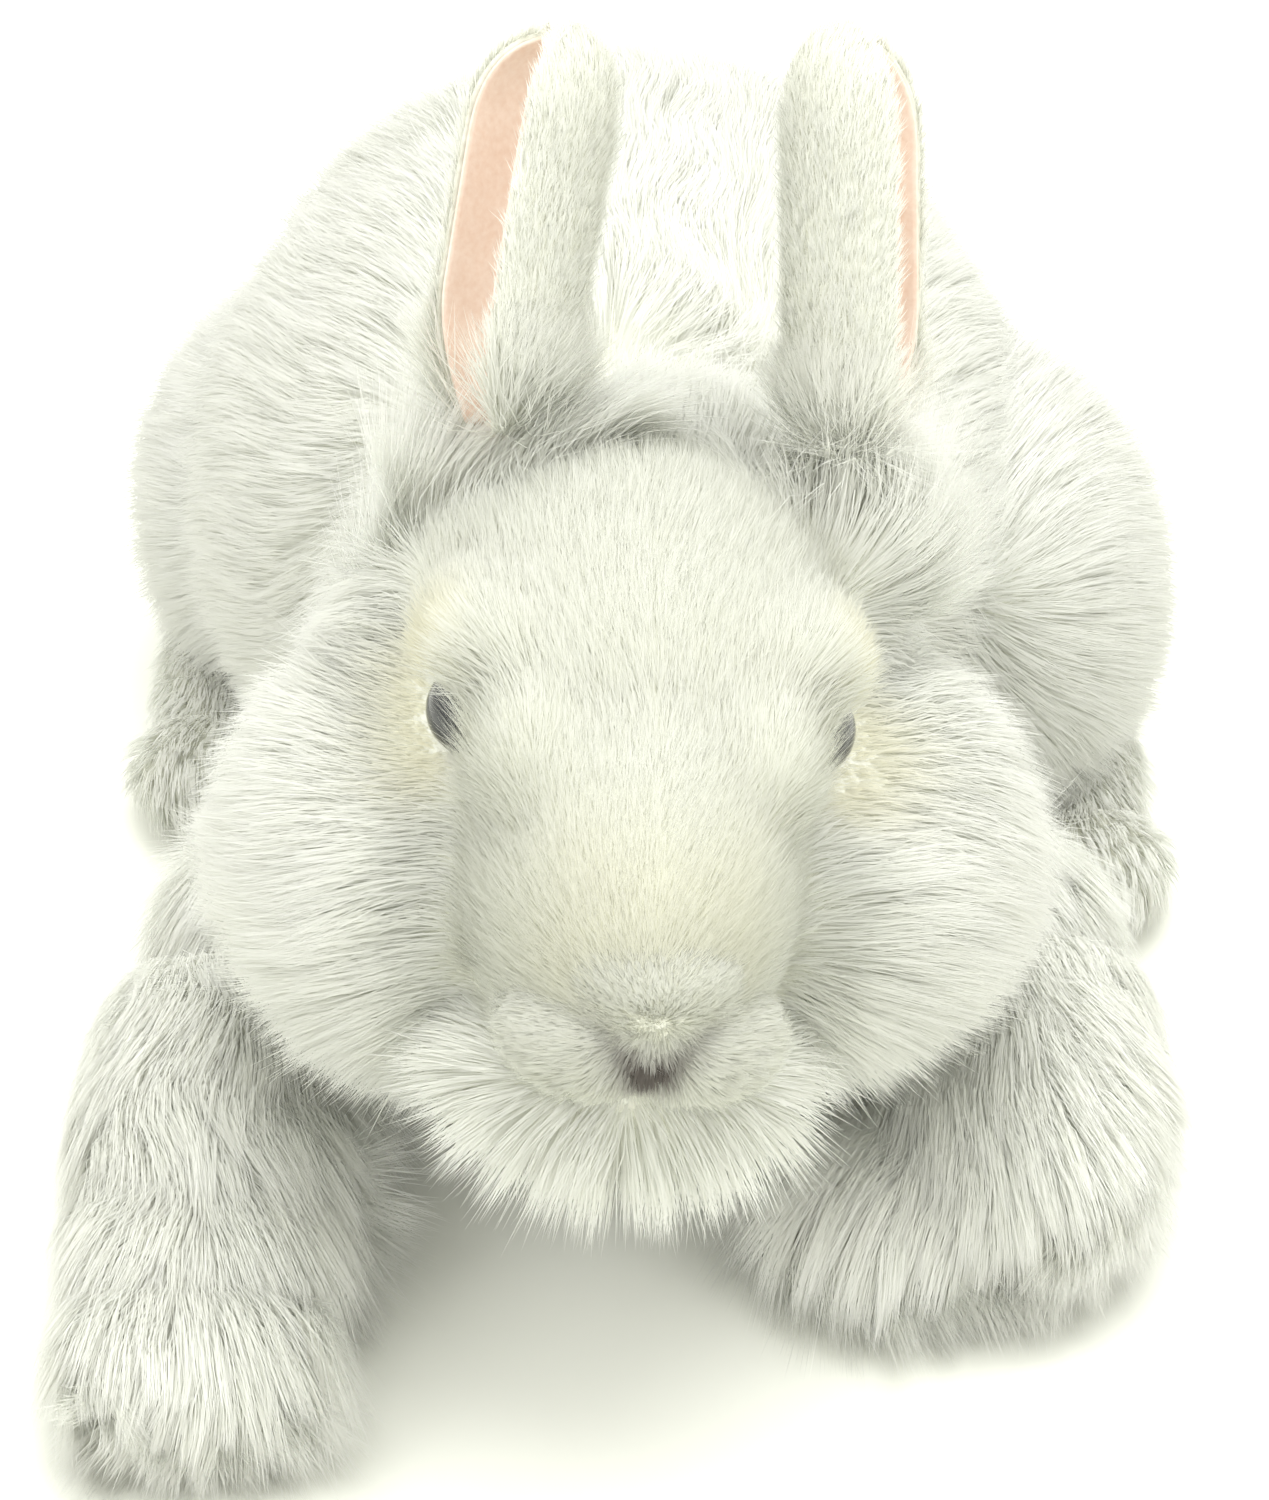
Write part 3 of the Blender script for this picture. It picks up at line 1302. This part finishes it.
@dataclass
class Foreleg:
    """Foreleg lying on the floor, with the fur fanned out round the paw."""

    side: Side
    shoulder: Vector
    leg_at: tuple[float, float]
    paw_at: tuple[float, float]
    paw_half: tuple[float, float, float]
    leg_half: tuple[float, float, float] = (20.0, 38.0, 19.5)
    shoulder_r: float = 17.5
    skin_depth: float = 5.0
    tip_trim: float = 0.0

    def blobs(self) -> list[Blob]:
        """Shoulder, leg and paw under the fur."""
        depth = self.skin_depth
        leg = (self.shoulder.x + self.leg_at[0], self.shoulder.y + self.leg_at[1], self.leg_half[2] - 1.0)
        paw = (self.shoulder.x + self.paw_at[0], self.shoulder.y + self.paw_at[1], self.paw_half[2] - 1.0)
        return [
            Blob(tuple(self.shoulder), (self.shoulder_r - depth + 1,) * 3),
            Blob(leg, tuple(size - depth for size in self.leg_half)),
            Blob(paw, tuple(size - depth for size in self.paw_half)),
            Blob(tuple((np.array(leg) + np.array(paw)) / 2), (14.5, 24.0, 12.0)),
        ]

    def build(self) -> None:
        """Builds the leg's cloth and fur."""
        word = self.side.word
        body = f"foreleg_{word}"
        blobs = self.blobs()
        skin = StuffedShape(f"foreleg_{word}_cloth", blobs, WORLD, voxel=2.0, rounds=8, floor=1.6).build(KNIT)
        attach(skin, body)
        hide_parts(f"foreleg_{word}_cover")
        paw = np.array(blobs[2].centre)
        knot = paw + np.array([0.0, 40.0, 12.0])

        def comb(points: Array, normals: Array) -> Array:
            """Down the leg, then fanned out from the top of the paw."""
            fan = points - knot
            fan[:, 0] *= 1.6
            fan[:, 2] = -2.0 - 12.0 * ramp(points[:, 2], 4.0, 13.0)
            fan = unit(fan)
            down = vector_row(0.25 * self.side.value, -0.9, -0.3)
            near = ramp(points[:, 1], paw[1] + 34.0, paw[1] + 12.0)[:, None]
            inner = ramp((points[:, 0] - paw[0]) * -self.side.value, 0.0, 14.0)[:, None]
            side_fall = vector_row(-0.9 * self.side.value, -0.35, -0.35)
            lie = down * (1 - inner) + side_fall * inner
            return lie * (1 - near) + fan * near

        def length(points: Array) -> Array:
            """Longest on the inner side and round the paw."""
            inner = ramp((points[:, 0] - paw[0]) * -self.side.value, 0.0, 14.0)
            tip = ramp(points[:, 1], paw[1] - 4.0, paw[1] - 18.0)
            return (0.9 + 0.35 * inner) * (1 - self.tip_trim * tip)

        def keep(points: Array) -> Array:
            """Above the underside."""
            return (points[:, 2] > 2.3) * 1.0

        pile = Pile(
            17.0, 54000, width=0.22, lift_root=50, lift_tip=4, droop=0.42, clump=0.48, clump_share=0.022,
            swirl=0.4, swirl_pitch=22.0, seed=91 + self.side.value,
        )
        piece = FurCoat(f"foreleg_{word}_fur", skin, pile, comb, length, keep).build(LONG_FUR)
        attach(piece, body)
        LOG.info("foreleg %s: cloth and fur", word)


# ---------------------------------------------------------------- room


@dataclass
class Studio:
    """Plain pale floor, soft white light and the camera in front of and above the toy."""

    target: tuple[float, float, float] = (-1.1, -77.0, 76.0)
    distance: float = 464.0
    elevation: float = 36.0
    focal_px: float = 3400.0
    frame_px: tuple[int, int] = (1269, 1500)

    def build(self) -> None:
        """Builds floor, lights, world and camera."""
        self._floor()
        self._lights()
        self._camera()
        LOG.info("studio")

    def _floor(self) -> None:
        """Large smooth sheet of paper-white board."""
        material, tree, shader, _ = new_material("white_studio_board")
        place = add_node(tree, "ShaderNodeTexCoord")
        cloudy = add_node(tree, "ShaderNodeTexNoise", {"Vector": place.outputs["Object"]}, Scale=3.0)
        gradient = add_node(tree, "ShaderNodeValToRGB", {"Fac": cloudy.outputs["Fac"]})
        set_ramp(gradient, [(0.3, "EAEBE1"), (0.7, "EDEEE5")])
        tree.links.new(gradient.outputs["Color"], shader.inputs["Base Color"])
        shader.inputs["Roughness"].default_value = 0.75
        shape = bmesh.new()
        bmesh.ops.create_grid(shape, x_segments=8, y_segments=8, size=4.0)
        mesh = bpy.data.meshes.new("studio_floor")
        shape.to_mesh(mesh)
        shape.free()
        floor = new_piece("studio_floor", mesh)
        mesh.materials.append(material)

    def _lights(self) -> None:
        """Two large soft boxes and an even white world."""
        world = bpy.data.worlds.new("studio_white")
        bpy.context.scene.world = world
        world.use_nodes = True
        background = world.node_tree.nodes["Background"]
        background.inputs["Color"].default_value = linear_colour("FFFFFB")
        background.inputs["Strength"].default_value = 0.88
        for name, where, size, power in (
            ("top_box", (0.15, 0.25, 1.3), 1.4, 16.5),
            ("front_left_box", (-0.9, -0.7, 0.9), 0.9, 4.0),
            ("front_right_box", (0.8, -0.9, 0.7), 0.9, 2.9),
        ):
            lamp = bpy.data.lights.new(name, "AREA")
            lamp.size = size
            lamp.energy = power
            box = bpy.data.objects.new(name, lamp)
            box.location = where
            aim = Vector((0.0, -0.02, 0.05)) - Vector(where)
            box.rotation_euler = aim.to_track_quat("-Z", "Y").to_euler()
            bpy.context.scene.collection.objects.link(box)

    def _camera(self) -> None:
        """Camera at the viewing angle, with a portrait lens."""
        up = math.radians(self.elevation)
        back = Vector((0.0, -math.cos(up), math.sin(up)))
        where = (Vector(self.target) + back * self.distance) * MM
        lens = bpy.data.cameras.new("camera")
        lens.sensor_width = 36.0
        lens.lens = self.focal_px / max(self.frame_px) * lens.sensor_width
        lens.clip_start = 0.02
        camera = bpy.data.objects.new("camera", lens)
        camera.location = where
        camera.rotation_euler = (-back).to_track_quat("-Z", "Y").to_euler()
        bpy.context.scene.collection.objects.link(camera)
        bpy.context.scene.camera = camera


def dress_cad() -> None:
    """Gives the CAD pieces that stay their own materials."""
    for name, node in frame["nodes"].items():
        finish = WASHER_PLASTIC if name.endswith("washer") else FILLING
        if name.endswith("washer") or name.endswith("stuffing"):
            node.data.materials.clear()
            node.data.materials.append(finish)
    LOG.info("washers and filling dressed")


def main() -> None:
    """Builds the room and the toy, piece by piece."""
    logging.basicConfig(level=logging.INFO, format="%(message)s")
    bpy.context.scene.view_settings.view_transform = "Standard"
    bpy.context.scene.view_settings.exposure = 0.30
    Studio().build()
    neck = joint_point("head_nod")
    Torso(neck, joint_point("tail_lift")).build()
    for side in Side:
        Haunch(side).build()
    BellyPanel().build()
    Tail(joint_point("tail_lift")).build()
    head = Head(neck)
    head.build()
    for side, lean_in, start, tip in ((Side.LEFT, 5.0, -0.5, 53.0), (Side.RIGHT, 6.0, 0.0, 56.5)):
        root = joint_point(f"ear_{side.word}_fold")
        Ear(side, head.place(), root, length=tip, start=start, lean_in=lean_in).build()
    stretched = {"leg_at": (-6.0, -34.0), "paw_at": (-6.0, -72.0), "paw_half": (19.0, 23.0, 15.0)}
    folded = {"leg_at": (3.0, -22.0), "paw_at": (-10.0, -40.0), "paw_half": (27.0, 21.0, 14.0)}
    Foreleg(Side.LEFT, joint_point("foreleg_left_splay"), tip_trim=0.4, **stretched).build()
    Foreleg(Side.RIGHT, joint_point("foreleg_right_splay"), **folded).build()
    dress_cad()


if __name__ == "__main__":
    main()
